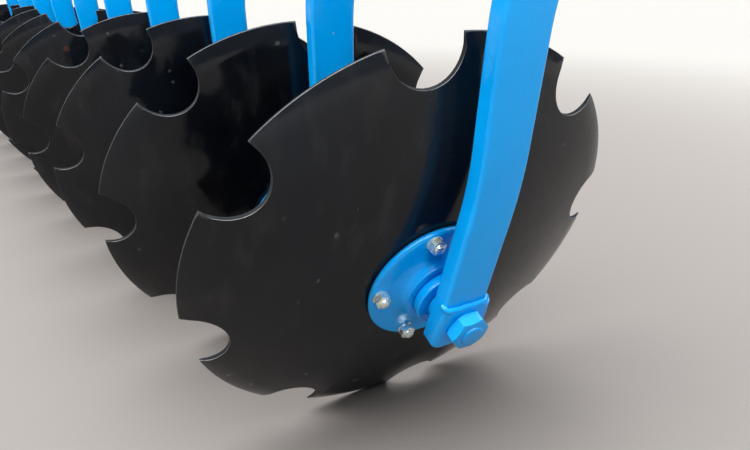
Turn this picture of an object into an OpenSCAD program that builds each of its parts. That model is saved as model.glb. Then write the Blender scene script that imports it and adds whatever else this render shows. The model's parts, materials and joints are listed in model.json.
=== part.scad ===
// One row of a disc harrow: notched discs, each hung by itself from a square beam.
// Millimetres. X runs along the row, Y is the way it travels and Z is up.
// The origin is the middle of the row, on the seat of the middle frame plate.

/* [Row] */
// Half the number of discs in the row
disc_pairs = 5; // [3:1:6]
// Distance from one disc to the next along the row
pitch = 258; // [240:1:300]
// Angle between each disc and the way of travel
attack = 15; // [10:0.5:20]
// Angle by which each disc's axle points down
tilt = 17; // [12:0.5:20]

/* [Disc] */
// Diameter over the teeth
disc_d = 560; // [520:2:580]
// Plate thickness
disc_t = 5; // [4:0.5:7]
// Depth of the dish, from the rim to the flat middle
dish_depth = 38; // [34:1:46]
// Diameter of the flat middle
disc_flat_d = 176; // [172:2:190]
// Number of notches
notches = 8; // [6:1:10]
// Radius of each notch
notch_r = 40; // [28:1:44]
// Depth of each notch
notch_depth = 43; // [30:1:50]
// Width of the ground edge on the teeth
edge_w = 11; // [6:1:16]
// Thickness that the ground edge leaves at the rim
edge_t = 2; // [1:0.5:3]

/* [Hub] */
// Diameter of the hub's flange
flange_d = 170; // [166:1:176]
// Thickness of the flange
flange_t = 9; // [7:0.5:12]
// Number of bolts that hold the disc
disc_bolts = 5; // [4:1:6]
// Diameter of the circle that they stand on
disc_bolt_pcd = 147; // [144:1:150]
// Diameter of the holes for them
disc_bolt_hole = 13; // [11:0.5:14]
// Diameter of the spigot that fills the disc's middle hole
spigot_d = 90; // [80:1:94]
// How far the hub's body stands out on the hollow side
spigot_len = 22; // [16:1:28]
// Diameter of the cap on the hollow side
cap_d = 66; // [56:1:74]
// Height of the cap
cap_h = 6; // [4:0.5:6]
// Diameter of the barrel between the flange and the seal ring
barrel_d = 88; // [80:1:92]
// Height of the barrel above the flange
barrel_h = 13; // [10:0.5:14]
// Radius of the cove between the flange and the barrel
cove_r = 20; // [16:1:20]
// Diameter of the seal ring
seal_d = 74; // [66:1:78]
// Height of the seal ring
seal_h = 11; // [8:0.5:12]
// Depth of the groove below the seal ring
groove_depth = 4; // [2:0.5:6]
// Height of that groove
groove_h = 2; // [1:0.5:3]

/* [Axle] */
// Diameter of the stub axle in the hub
axle_d = 40; // [34:1:44]
// Diameter of the axle's shoulder against the arm's block
shoulder_d = 50; // [46:1:52]
// Height of the shoulder
shoulder_h = 12; // [9:0.5:14]
// Diameter of the shank in the arm's block
shank_d = 27; // [24:1:30]
// Width of the nut across its flats
nut_af = 41; // [38:1:44]
// Height of the nut
nut_h = 16; // [14:1:22]
// How far the shank stands out of the nut
shank_end = 2.5; // [1:0.5:6]

/* [Arm] */
// Width of the arm's bar
arm_w = 54; // [50:1:60]
// Thickness of the bar
arm_t = 23; // [20:1:26]
// Width of the block at the foot of the arm, which holds the axle
eye_w = 64; // [60:1:70]
// Thickness of the block
eye_t = 24; // [20:1:28]
// Height of the block's top, on which the bar stands, above the axle
eye_top = 27; // [26:1:32]
// Depth of the block's bottom below the axle
eye_drop = 36; // [30:1:42]
// Radius of the block's lower corners
eye_corner = 8; // [4:1:14]
// Angle between the bar and the block
kink = 10.5; // [8:0.5:12]
// How far the bar's middle line, drawn on down to the axle, lies behind it
arm_shift = 5.5; // [2:0.5:8]
// Lean of the foot of the bar
foot_lean = 8.5; // [6:0.5:10]
// Length of the foot
foot_len = 124; // [110:1:140]
// Radius of the knee above the foot
knee_r = 400; // [300:5:500]
// Lean of the straight stem above the knee, backwards
stem_lean = 2.5; // [0:0.5:4]
// Length of the stem
stem_len = 100; // [80:1:130]
// Radius of the neck that brings the bar forward to the beam
neck_r = 250; // [200:5:300]

/* [Beam] */
// Width of the square beam
beam_w = 80; // [76:1:90]
// Wall of the beam
beam_wall = 6; // [4:0.5:10]
// Corner radius of the beam
beam_corner = 10; // [6:1:14]
// How far the beam passes the outer clamps
beam_over = 60; // [40:5:120]
// Thickness of the plates that close the beam's ends
end_plate_t = 6; // [4:0.5:10]

/* [Clamp] */
// Diameter of each rubber rod, before it is squeezed
rubber_d = 43; // [41:0.5:46]
// How far the rod's middle lies from the beam's face
rubber_seat = 20; // [19:0.5:21]
// Length of the clamp along the beam
clamp_len = 110; // [90:1:120]
// Plate thickness of the clamp
clamp_t = 8; // [6:0.5:12]
// Bend radius inside the clamp's corners
clamp_bend = 8; // [4:1:10]
// Width of the clamp's bolting flanges
flange_w = 45; // [40:1:55]
// Diameter of the clamp's bolt holes
clamp_hole = 17; // [13:0.5:18]
// Distance between the bolts of one flange
clamp_hole_gap = 64; // [50:1:74]

/* [Frame plates] */
// Size of each plate along the row
plate_x = 110; // [100:1:116]
// Size of each plate across the row
plate_y = 190; // [176:1:220]
// Thickness of each plate
plate_t = 12; // [8:0.5:16]
// Diameter of the plate's bolt holes
plate_hole = 18; // [14:0.5:20]
// Distance between the holes along the row
plate_gap_x = 70; // [60:1:80]
// Distance between the holes across the row
plate_gap_y = 146; // [140:1:150]
// Thickness of the ribs under each plate
rib_t = 8; // [6:0.5:12]
// Height of the ribs
rib_h = 50; // [40:1:60]

/* [Hidden] */
$fn = 96;
steel_blue = "dodgerblue";
steel_black = "black";
bearing_play = 0.05; // radial play between the axle and the hub
fit_gap = 0.3;       // radial gap where one piece is put into another
cut = 1;             // how far a cut runs past a face
end_play = 2;        // between the axle's inner end and the hub's blind end
seal_play = 1;       // between the hub's front and the axle's shoulder

discs = 2 * disc_pairs;
// Turn of each disc and its hub about its own axle, nearest disc first
turns = [32, 62, 52, 59, 38, 32, 26, 48, 41, 57, 35, 44];

// Heights along the axle, measured from the disc's rim plane towards the arm
disc_face = dish_depth;
disc_back = disc_face - disc_t;
flange_face = disc_face + flange_t;
barrel_top = flange_face + barrel_h;
seal_base = barrel_top + groove_h;
hub_front = seal_base + seal_h;
eye_back = hub_front + seal_play + shoulder_h;
eye_front = eye_back + eye_t;
bar_mid = eye_back + eye_t / 2;
nut_front = eye_front + nut_h;
spigot_back = disc_face - spigot_len;
bore_back = spigot_back - cap_h / 2;

// The disc's shell lies between two spheres about one centre; the rim and the flat meet the outer one
disc_r = disc_d / 2;
flat_r = disc_flat_d / 2;
dish_span = (disc_r ^ 2 - flat_r ^ 2) / dish_depth;
dish_centre = (dish_span - dish_depth) / 2;
dish_r = sqrt(dish_centre ^ 2 + disc_r ^ 2);
rim_low = -2 * disc_t;
function dish_z(r) = sqrt(dish_r ^ 2 - r ^ 2) - dish_centre;

// Clamp section: a square turned by 45 degrees around the beam, half sides
rubber_mid = beam_w / 2 + rubber_seat;
clamp_step = 0.2; // the clamp's half side is a whole number of these
clamp_in = round((rubber_mid / sqrt(2) + rubber_seat) / clamp_step) * clamp_step;
clamp_out = clamp_in + clamp_t;
clamp_tip = clamp_in * sqrt(2) + flange_w;
clamp_hole_y = (clamp_out * sqrt(2) + clamp_tip) / 2;

// Centreline of the bar in its own plane: u forwards, v up, from the axle
function heading(lean) = [sin(lean), cos(lean)];
function across(lean) = [cos(lean), -sin(lean)];
neck_lean = 45;
foot_start = [-arm_shift, 0];
knee_start = foot_start + foot_len * heading(foot_lean);
knee_centre = knee_start - knee_r * across(foot_lean);
stem_start = knee_centre + knee_r * across(-stem_lean);
neck_start = stem_start + stem_len * heading(-stem_lean);
neck_centre = neck_start + neck_r * across(-stem_lean);
neck_end = neck_centre - neck_r * across(neck_lean);
weld_in = 18;   // how far the bar runs past the clamp's outer face before it is trimmed
weld_out = 0.5; // how far it runs into the top of the block
bar_step = 2.5; // lean from one station of a bend to the next
knee_steps = ceil((foot_lean + stem_lean) / bar_step);
neck_steps = ceil((neck_lean + stem_lean) / bar_step);
// Stations of the bar from the axle upwards: place of the centreline, lean
bar_stations = concat(
    [[foot_start, foot_lean]],
    [for (i = [0:knee_steps]) let (lean = foot_lean - i / knee_steps * (foot_lean + stem_lean))
        [knee_centre + knee_r * across(lean), lean]],
    [for (i = [0:neck_steps]) let (lean = i / neck_steps * (neck_lean + stem_lean) - stem_lean)
        [neck_centre - neck_r * across(lean), lean]],
    [[neck_end + weld_in * heading(neck_lean), neck_lean]]
);

// A step in the axle's frame, given in the row's frame
function in_row(p) =
    let (level = [p.z * cos(tilt) + p.y * sin(tilt), p.x, p.y * cos(tilt) - p.z * sin(tilt)])
    [level.x * cos(attack) + level.y * sin(attack), level.y * cos(attack) - level.x * sin(attack), level.z];

arm_top = in_row([neck_end.x, neck_end.y * cos(kink), bar_mid - neck_end.y * sin(kink)]);
beam_from_disc = arm_top + [0, clamp_out, clamp_out] / sqrt(2);
beam_z = -plate_t - beam_w / 2;
beam_len = (discs - 1) * pitch + clamp_len + 2 * beam_over;
plate_places = [-1, 0, 1] * (disc_pairs - 2) * pitch;

function clamp_x(k) = ((discs + 1) / 2 - k) * pitch;
function disc_place(k) = [clamp_x(k), 0, beam_z] - beam_from_disc;

// Axle's frame of disc k: origin in the rim plane, Z along the axle towards the arm
module at_disc(k) {
    translate(disc_place(k)) rotate([0, tilt, -attack]) rotate([90, 0, 90]) children();
}

// Middle of clamp k, with X forwards, Y up and Z along the beam
module at_clamp(k) {
    translate([clamp_x(k), 0, beam_z]) rotate([90, 0, 90]) children();
}

module rounded_square(size, r) {
    inner = size - 2 * r;
    square([size, inner], center = true);
    square([inner, size], center = true);
    for (x = [-1, 1], y = [-1, 1])
        translate([x, y] * inner / 2) circle(r);
}

module bolt_circle(count, pcd, hole, from, height) {
    for (i = [0:count - 1])
        rotate([0, 0, i * 360 / count])
            translate([pcd / 2, 0, from]) cylinder(d = hole, h = height);
}

// Disc

module dish_round(r) {
    translate([0, -dish_centre]) circle(r, $fn = 1440);
}

module disc_section() {
    edge_in = [disc_r - edge_w, dish_z(disc_r - edge_w)];
    edge_out = [disc_r, edge_t - disc_t];
    slope = (edge_out.y - edge_in.y) / edge_w;
    difference() {
        intersection() {
            dish_round(dish_r);
            translate([spigot_d / 2, rim_low]) square([disc_r - spigot_d / 2, disc_face - rim_low]);
        }
        intersection() {
            dish_round(dish_r - disc_t);
            translate([0, rim_low - cut]) square([disc_r + cut, disc_back - rim_low + cut]);
        }
        polygon([edge_in, edge_out + [cut, slope * cut], [disc_r + cut, edge_in.y + cut], edge_in + [0, cut]]);
    }
}

module disc(k) {
    notch_pcd = disc_d + 2 * (notch_r - notch_depth);
    color(steel_black) at_disc(k) rotate([0, 0, turns[k - 1]]) difference() {
        rotate_extrude() disc_section();
        rotate([0, 0, 180 / notches])
            bolt_circle(notches, notch_pcd, 2 * notch_r, rim_low - cut, disc_face - rim_low + 2 * cut);
        bolt_circle(disc_bolts, disc_bolt_pcd, disc_bolt_hole, disc_back - cut, disc_t + 2 * cut);
    }
}

// Hub, drawn as half its section with X outwards and Y along the axle

module band(r, from, to) {
    translate([0, from]) square([r, to - from]);
}

module hub_section() {
    roll_r = flange_t / 2;
    cap_round = cap_h / 2;
    band(cap_d / 2 - cap_round, spigot_back - cap_h, spigot_back);
    band(cap_d / 2, spigot_back - cap_h + cap_round, spigot_back);
    translate([cap_d / 2 - cap_round, spigot_back - cap_h + cap_round]) circle(cap_round);
    band(spigot_d / 2 - fit_gap, spigot_back, disc_face);
    band(flange_d / 2 - roll_r, disc_face, flange_face);
    translate([flange_d / 2 - roll_r, disc_face + roll_r]) circle(roll_r);
    band(barrel_d / 2, flange_face, barrel_top);
    difference() {
        band(barrel_d / 2 + cove_r, flange_face, barrel_top);
        translate([barrel_d / 2 + cove_r, flange_face + cove_r]) circle(cove_r);
    }
    band(seal_d / 2 - groove_depth, barrel_top, seal_base);
    band(seal_d / 2, seal_base, hub_front);
}

module hub(k) {
    color(steel_blue) at_disc(k) rotate([0, 0, turns[k - 1]]) difference() {
        rotate_extrude() hub_section();
        translate([0, 0, bore_back]) cylinder(r = axle_d / 2 + bearing_play, h = hub_front - bore_back + cut);
        bolt_circle(disc_bolts, disc_bolt_pcd, disc_bolt_hole, disc_face - cut, flange_t + 2 * cut);
    }
}

// Stub axle with its shoulder, shank and nut

module axle(k) {
    shank_front = nut_front + shank_end;
    shank_chamfer = 2.5;
    nut_chamfer = 1.5;
    corner_r = nut_af / 2 / cos(30);
    color(steel_blue) at_disc(k) {
        translate([0, 0, bore_back + end_play])
            cylinder(d = axle_d, h = eye_back - bore_back - end_play);
        translate([0, 0, eye_back - shoulder_h]) cylinder(d = shoulder_d, h = shoulder_h);
        translate([0, 0, eye_back]) cylinder(d = shank_d, h = shank_front - shank_chamfer - eye_back);
        translate([0, 0, shank_front - shank_chamfer])
            cylinder(d1 = shank_d, d2 = shank_d - 2 * shank_chamfer, h = shank_chamfer);
        translate([0, 0, eye_front]) intersection() {
            cylinder(r = corner_r, h = nut_h, $fn = 6);
            cylinder(r1 = nut_af / 2 + nut_h, r2 = nut_af / 2 + nut_chamfer, h = nut_h, $fn = 96);
        }
    }
}

// Arm: a block, a bent bar and the lower half of the clamp, welded together

module bar_outline() {
    polygon(concat(
        [for (s = bar_stations) s[0] + across(s[1]) * arm_w / 2],
        [for (i = [len(bar_stations) - 1:-1:0]) bar_stations[i][0] - across(bar_stations[i][1]) * arm_w / 2]
    ));
}

module eye_outline() {
    corner_x = eye_w / 2 - eye_corner;
    corner_y = eye_corner - eye_drop;
    translate([-eye_w / 2, corner_y]) square([eye_w, eye_top - corner_y]);
    translate([-corner_x, -eye_drop]) square([2 * corner_x, eye_drop]);
    for (x = [-corner_x, corner_x])
        translate([x, corner_y]) circle(eye_corner);
}

module eye() {
    translate([0, 0, eye_back]) linear_extrude(eye_t) difference() {
        eye_outline();
        circle(d = shank_d + 2 * fit_gap);
    }
}

// The bar, with its foot cut level where it stands on the block
module bar() {
    difference() {
        translate([0, 0, bar_mid]) rotate([-kink, 0, 0])
            linear_extrude(arm_t, center = true) bar_outline();
        translate([-arm_w, -arm_w, 0])
            cube([2 * arm_w, arm_w + eye_top - weld_out, 2 * bar_mid]);
    }
}

// Square that the clamp's bends follow, at half side d from the beam's middle
module clamp_square(d) {
    rotate(45) rounded_square(2 * d, d - clamp_in + clamp_bend);
}

module clamp_half() {
    difference() {
        linear_extrude(clamp_len, center = true) difference() {
            union() {
                intersection() {
                    clamp_square(clamp_out);
                    translate([-clamp_tip, -clamp_tip]) square([2 * clamp_tip, clamp_tip]);
                }
                translate([-clamp_tip, -clamp_t]) square([2 * clamp_tip, clamp_t]);
            }
            clamp_square(clamp_in);
        }
        for (x = [-1, 1], z = [-1, 1])
            translate([x * clamp_hole_y, 0, z * clamp_hole_gap / 2]) rotate([90, 0, 0])
                cylinder(d = clamp_hole, h = 3 * clamp_t, center = true);
    }
}

module arm(k) {
    color(steel_blue) {
        difference() {
            at_disc(k) {
                eye();
                bar();
            }
            at_clamp(k) linear_extrude(clamp_len + 2 * weld_in, center = true)
                clamp_square(clamp_in + clamp_t / 2);
        }
        at_clamp(k) clamp_half();
    }
}

// Upper halves of the clamps, bolted to the arms' halves

module clamp_caps() {
    color(steel_blue) for (k = [1:discs])
        at_clamp(k) mirror([0, 1, 0]) clamp_half();
}

// Rubber rods between the beam's faces and the clamps' corners

module rubber_rod() {
    linear_extrude(clamp_len, center = true) intersection() {
        translate([rubber_mid, 0]) circle(d = rubber_d);
        rotate(45) square(2 * clamp_in, center = true);
        translate([beam_w / 2, -beam_w / 2]) square(beam_w);
    }
}

module rubber_rods() {
    color("dimgray") for (k = [1:discs], turn = [0:90:270])
        at_clamp(k) rotate([0, 0, turn]) rubber_rod();
}

// Beam, its end plates and the plates that carry it

module beam() {
    color(steel_blue) translate([0, 0, beam_z]) rotate([90, 0, 90])
        linear_extrude(beam_len, center = true) difference() {
            rounded_square(beam_w, beam_corner);
            rounded_square(beam_w - 2 * beam_wall, beam_corner - beam_wall);
        }
}

module end_plates() {
    color(steel_blue) for (side = [-1, 1])
        translate([side * (beam_len + end_plate_t) / 2, 0, beam_z]) rotate([90, 0, 90])
            linear_extrude(end_plate_t, center = true) rounded_square(beam_w, beam_corner);
}

module rib() {
    rib_w = (plate_y - beam_w) / 2 - cut;
    rotate([90, 0, 90]) linear_extrude(rib_t, center = true)
        polygon([[beam_w / 2, 0], [beam_w / 2 + rib_w, 0], [beam_w / 2 + rib_w, -rib_t], [beam_w / 2, -rib_h]]);
}

module frame_plates() {
    color(steel_blue) for (x = plate_places)
        translate([x, 0, -plate_t]) {
            difference() {
                translate([-plate_x / 2, -plate_y / 2, 0]) cube([plate_x, plate_y, plate_t]);
                for (side = [-1, 1], end = [-1, 1])
                    translate([side * plate_gap_x / 2, end * plate_gap_y / 2, -cut])
                        cylinder(d = plate_hole, h = plate_t + 2 * cut);
            }
            for (turn = [0, 180])
                rotate([0, 0, turn]) rib();
        }
}

for (k = [1:discs]) {
    disc(k);
    hub(k);
    axle(k);
    arm(k);
}
beam();
end_plates();
frame_plates();
clamp_caps();
rubber_rods();
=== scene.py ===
"""Dresses one disc row of a harrow: ten notched discs, each on its own arm under a square beam.

Sizes are millimetres, as on a drawing; every mesh is placed in the row's frame in metres.
"""

import json
import logging
import math
from collections.abc import Iterable, Sequence
from dataclasses import dataclass, field
from enum import Enum

import bmesh
import bpy
from bmesh.types import BMEdge, BMesh, BMFace, BMVert
from bpy.types import Material, Node, NodeSocket, NodeTree
from mathutils import Matrix, Vector


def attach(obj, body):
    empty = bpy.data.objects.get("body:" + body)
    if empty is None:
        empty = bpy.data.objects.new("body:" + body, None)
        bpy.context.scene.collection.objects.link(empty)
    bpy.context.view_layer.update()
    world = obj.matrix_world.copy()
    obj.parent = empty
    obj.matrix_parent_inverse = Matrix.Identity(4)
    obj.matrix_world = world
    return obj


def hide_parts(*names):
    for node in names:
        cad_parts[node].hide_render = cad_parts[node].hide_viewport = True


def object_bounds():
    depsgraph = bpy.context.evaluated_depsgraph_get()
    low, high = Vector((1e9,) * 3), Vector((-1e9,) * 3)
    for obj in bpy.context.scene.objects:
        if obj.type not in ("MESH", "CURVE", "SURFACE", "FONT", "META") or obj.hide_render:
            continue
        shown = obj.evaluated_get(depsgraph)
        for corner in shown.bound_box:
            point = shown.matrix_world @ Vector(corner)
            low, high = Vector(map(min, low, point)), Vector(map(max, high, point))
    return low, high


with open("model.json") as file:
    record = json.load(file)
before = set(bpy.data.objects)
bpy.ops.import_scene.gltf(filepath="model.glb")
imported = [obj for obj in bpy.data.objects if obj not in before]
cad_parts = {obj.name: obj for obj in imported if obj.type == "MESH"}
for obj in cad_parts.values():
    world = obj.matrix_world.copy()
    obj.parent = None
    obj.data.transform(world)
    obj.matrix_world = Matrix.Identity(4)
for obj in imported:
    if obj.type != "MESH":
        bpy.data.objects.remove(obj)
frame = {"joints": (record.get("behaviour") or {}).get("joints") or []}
CAD_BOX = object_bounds()

LOG = logging.getLogger("disc_row")
MM = 0.001
TO_METRES = Matrix.Scale(MM, 4)
TAU = 2 * math.pi
# A hexagon looks the same after this turn in degrees
SIXTH = 60
# Distances in millimetres below which a point is on a line, and two of a turned piece are one
TOUCH = 0.05
MERGE = 1e-4
# Least Z of a level face's normal
LEVEL = 0.9
FRAME_BODY = "row_frame"
DISCS = 10
# Count at the middle of the row
MIDDLE = (DISCS + 1) / 2
PITCH = 258.0
BEAM_Z = -52.0
# Distance between the plates that bolt the beam under a machine's frame
SEAT_GAP = (DISCS / 2 - 2) * PITCH
# Turn of each disc about its axle in degrees, nearest disc first
TURNS = (32, 62, 52, 59, 38, 32, 26, 48, 41, 57)
# Places of the factor, the two colours and the result among a Mix node's sockets
MIX_FACTOR, MIX_A, MIX_B, MIX_RESULT = 0, 6, 7, 2

Colour = tuple[float, float, float, float]
Pair = tuple[float, float]
Triple = tuple[float, float, float]


class Slot(Enum):
    """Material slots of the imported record."""

    BLUE = "blue_paint"
    BLACK = "black_paint"
    RUBBER = "rubber"


class Socket(Enum):
    """Kinds of socket on the shared shader groups."""

    NUMBER = "NodeSocketFloat"
    VECTOR = "NodeSocketVector"


class Calc(Enum):
    """What a Math node works out."""

    PLUS = "ADD"
    MINUS = "SUBTRACT"
    TIMES = "MULTIPLY"
    BELOW = "LESS_THAN"
    HIGHER = "MAXIMUM"


class Axis(Enum):
    """Axes that a turn may be about."""

    X = "X"
    Z = "Z"


# Shader graphs


class Graph:
    """Adds and joins nodes in one material, group or world."""

    def __init__(self, tree: NodeTree) -> None:
        """Keep the tree that the nodes go into."""
        self.tree = tree

    def add(self, kind: str, **feeds: object) -> Node:
        """Add a node and feed its inputs.

        Args:
            kind: Blender's type name of the node.
            feeds: Inputs by name with _ for a blank, as a value or as the socket that feeds it.

        Returns:
            The new node.
        """
        node = self.tree.nodes.new(kind)
        for name, source in feeds.items():
            self.feed(node.inputs[name.replace("_", " ")], source)
        return node

    def feed(self, target: NodeSocket, source: object) -> None:
        """Join a socket to an input, or set the input's value.

        Args:
            target: The input.
            source: A socket or a plain value.
        """
        if isinstance(source, NodeSocket):
            self.tree.links.new(source, target)
        else:
            target.default_value = source

    def calc(self, what: Calc, a: object, b: object) -> NodeSocket:
        """Work out a number from two others.

        Args:
            what: What the node does.
            a: First number or socket.
            b: Second number or socket.

        Returns:
            The result's socket.
        """
        node = self.tree.nodes.new("ShaderNodeMath")
        node.operation = what.value
        self.feed(node.inputs[0], a)
        self.feed(node.inputs[1], b)
        return node.outputs[0]

    def fade(
        self, value: object, low: object, high: object, start: float = 0.0, end: float = 1.0
    ) -> NodeSocket:
        """Carry a number from one span to another with soft ends and no overshoot.

        Args:
            value: The number or its socket.
            low: Where the fade starts.
            high: Where it ends.
            start: Result at low.
            end: Result at high.

        Returns:
            The result's socket.
        """
        node = self.tree.nodes.new("ShaderNodeMapRange")
        node.interpolation_type = "SMOOTHSTEP"
        for socket, source in zip(node.inputs, (value, low, high, start, end)):
            self.feed(socket, source)
        return node.outputs[0]

    def blend(self, factor: object, a: object, b: object) -> NodeSocket:
        """Mix two colours.

        Args:
            factor: Share of b, from 0 to 1.
            a: Colour or socket at 0.
            b: Colour or socket at 1.

        Returns:
            The colour's socket.
        """
        node = self.tree.nodes.new("ShaderNodeMix")
        node.data_type = "RGBA"
        self.feed(node.inputs[MIX_FACTOR], factor)
        self.feed(node.inputs[MIX_A], a)
        self.feed(node.inputs[MIX_B], b)
        return node.outputs[MIX_RESULT]

    def share(self, mask: NodeSocket, part: object) -> NodeSocket:
        """Give a mask at a part of its strength."""
        return self.calc(Calc.TIMES, mask, part)

    def noise(self, vector: object, scale: object, detail: float) -> NodeSocket:
        """Give the value of a noise texture."""
        return self.add("ShaderNodeTexNoise", Vector=vector, Scale=scale, Detail=detail).outputs[0]

    def coordinates(self, kind: str) -> NodeSocket:
        """Give one of Blender's texture coordinates by its name."""
        return self.tree.nodes.new("ShaderNodeTexCoord").outputs[kind]

    def height(self, vector: NodeSocket) -> NodeSocket:
        """Give the Z of a vector."""
        return self.add("ShaderNodeSeparateXYZ", Vector=vector).outputs["Z"]

    def attribute(self, name: str) -> NodeSocket:
        """Give a number that the mesh holds at each of its points.

        Args:
            name: Name of the number.

        Returns:
            Its socket.
        """
        node = self.tree.nodes.new("ShaderNodeAttribute")
        node.attribute_name = name
        return node.outputs["Fac"]

    def effect(self, name: str, **feeds: object) -> NodeSocket:
        """Place a shared group with a material's own values.

        Args:
            name: Name of the group.
            feeds: Its inputs by name, as a value or as the socket that feeds it.

        Returns:
            What the group puts out.
        """
        node = self.tree.nodes.new("ShaderNodeGroup")
        node.node_tree = bpy.data.node_groups[name]
        for key, source in feeds.items():
            self.feed(node.inputs[key], source)
        return node.outputs[0]


def shared(
    name: str, numbers: Sequence[str], output: str, kind: Socket
) -> tuple[Graph, dict[str, NodeSocket], NodeSocket]:
    """Start a shared shader group that reads a place and some numbers.

    Args:
        name: Name of the group.
        numbers: Names of its inputs after "Vector".
        output: Name of what it puts out.
        kind: Kind of what it puts out.

    Returns:
        The graph, the group's input sockets by name, and its output socket.
    """
    tree = bpy.data.node_groups.new(name, "ShaderNodeTree")
    tree.interface.new_socket("Vector", in_out="INPUT", socket_type=Socket.VECTOR.value)
    for key in numbers:
        tree.interface.new_socket(key, in_out="INPUT", socket_type=Socket.NUMBER.value)
    tree.interface.new_socket(output, in_out="OUTPUT", socket_type=kind.value)
    source = tree.nodes.new("NodeGroupInput")
    target = tree.nodes.new("NodeGroupOutput")
    return Graph(tree), {s.name: s for s in source.outputs if s.name}, target.inputs[0]


@dataclass(frozen=True)
class Patches:
    """Soft cloudy patches: scale of the noise, and the levels at which they start and are full."""

    scale: float
    low: float
    high: float

    @staticmethod
    def make(detail: float = 4.0) -> None:
        """Build the group that the finishes share.

        Args:
            detail: Detail of the noise.
        """
        graph, given, out = shared("patches", ("Scale", "Low", "High"), "Mask", Socket.NUMBER)
        cloud = graph.noise(given["Vector"], given["Scale"], detail)
        graph.feed(out, graph.fade(cloud, given["Low"], given["High"]))

    def on(self, graph: Graph, place: NodeSocket) -> NodeSocket:
        """Give the patches' mask in a material."""
        return graph.effect("patches", Vector=place, Scale=self.scale, Low=self.low, High=self.high)


@dataclass(frozen=True)
class Specks:
    """Scattered ragged specks: cells a metre, size in a cell, and share of the cells with one."""

    scale: float
    size: float
    share: float

    @staticmethod
    def make(grain: float = 260.0, detail: float = 1.0, ragged: float = 0.004) -> None:
        """Build the group that the finishes share.

        Args:
            grain: Scale of the noise that makes the specks ragged.
            detail: Its detail.
            ragged: How far it shifts a point, in metres.
        """
        graph, given, out = shared("specks", ("Scale", "Size", "Share"), "Mask", Socket.NUMBER)
        vector = given["Vector"]
        rough = graph.add("ShaderNodeTexNoise", Vector=vector, Scale=grain, Detail=detail)
        jitter = graph.tree.nodes.new("ShaderNodeVectorMath")
        jitter.operation = "MULTIPLY_ADD"
        for socket, source in zip(jitter.inputs, (rough.outputs["Color"], (ragged,) * 3, vector)):
            graph.feed(socket, source)
        cell = graph.add("ShaderNodeTexVoronoi", Vector=jitter.outputs[0], Scale=given["Scale"])
        red = graph.add("ShaderNodeSeparateColor", Color=cell.outputs["Color"]).outputs["Red"]
        kept = graph.calc(Calc.BELOW, red, given["Share"])
        half = graph.share(given["Size"], 0.5)
        dot = graph.fade(cell.outputs["Distance"], given["Size"], half)
        graph.feed(out, graph.share(dot, kept))

    def on(self, graph: Graph, place: NodeSocket) -> NodeSocket:
        """Give the specks' mask in a material."""
        values = {"Scale": self.scale, "Size": self.size, "Share": self.share}
        return graph.effect("specks", Vector=place, **values)


@dataclass(frozen=True)
class Relief:
    """Slight swell of a surface: scale of the noise, and depth in metres."""

    scale: float
    depth: float

    @staticmethod
    def make(detail: float = 3.0) -> None:
        """Build the group that the finishes share.

        Args:
            detail: Detail of the noise.
        """
        graph, given, out = shared("relief", ("Scale", "Depth"), "Normal", Socket.VECTOR)
        swell = graph.noise(given["Vector"], given["Scale"], detail)
        bump = graph.add("ShaderNodeBump", Height=swell, Distance=given["Depth"], Strength=1.0)
        graph.feed(out, bump.outputs[0])

    def on(self, graph: Graph, place: NodeSocket) -> NodeSocket:
        """Give the swell's normal in a material."""
        return graph.effect("relief", Vector=place, Scale=self.scale, Depth=self.depth)


def dressed(name: str) -> tuple[Material, Graph, Node]:
    """Start a material.

    Args:
        name: Name of the finish.

    Returns:
        The material, its graph and its Principled shader.
    """
    material = bpy.data.materials.new(name)
    material.use_nodes = True
    graph = Graph(material.node_tree)
    return material, graph, material.node_tree.nodes["Principled BSDF"]


@dataclass(frozen=True)
class BluePaint:
    """Sprayed sky-blue gloss with slight orange peel, dust and a few chips."""

    colour: Colour = (0.0, 0.345, 0.86, 1)
    thin: Colour = (0.0, 0.315, 0.8, 1)
    chip: Colour = (0.03, 0.045, 0.06, 1)
    dust: Colour = (0.3, 0.42, 0.5, 1)
    gloss: Pair = (0.15, 0.24)
    shine: float = 0.36
    thin_coat: Patches = Patches(9.0, 0.4, 0.72)
    dust_specks: Specks = Specks(80.0, 0.13, 0.04)
    dust_cover: float = 0.5
    chips: Specks = Specks(17.0, 0.05, 0.3)
    clouds: Patches = Patches(30.0, 0.35, 0.75)
    peel: Relief = Relief(70.0, 0.0006)

    def material(self) -> Material:
        """Build the paint.

        Returns:
            The material.
        """
        material, graph, shader = dressed("blue_gloss_paint")
        place = graph.coordinates("Object")
        colour = graph.blend(self.thin_coat.on(graph, place), self.colour, self.thin)
        dust = graph.share(self.dust_specks.on(graph, place), self.dust_cover)
        colour = graph.blend(dust, colour, self.dust)
        colour = graph.blend(self.chips.on(graph, place), colour, self.chip)
        graph.feed(shader.inputs["Base Color"], colour)
        gloss = graph.fade(self.clouds.on(graph, place), 0.0, 1.0, *self.gloss)
        graph.feed(shader.inputs["Roughness"], gloss)
        shader.inputs["Specular IOR Level"].default_value = self.shine
        graph.feed(shader.inputs["Normal"], self.peel.on(graph, place))
        return material


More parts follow.
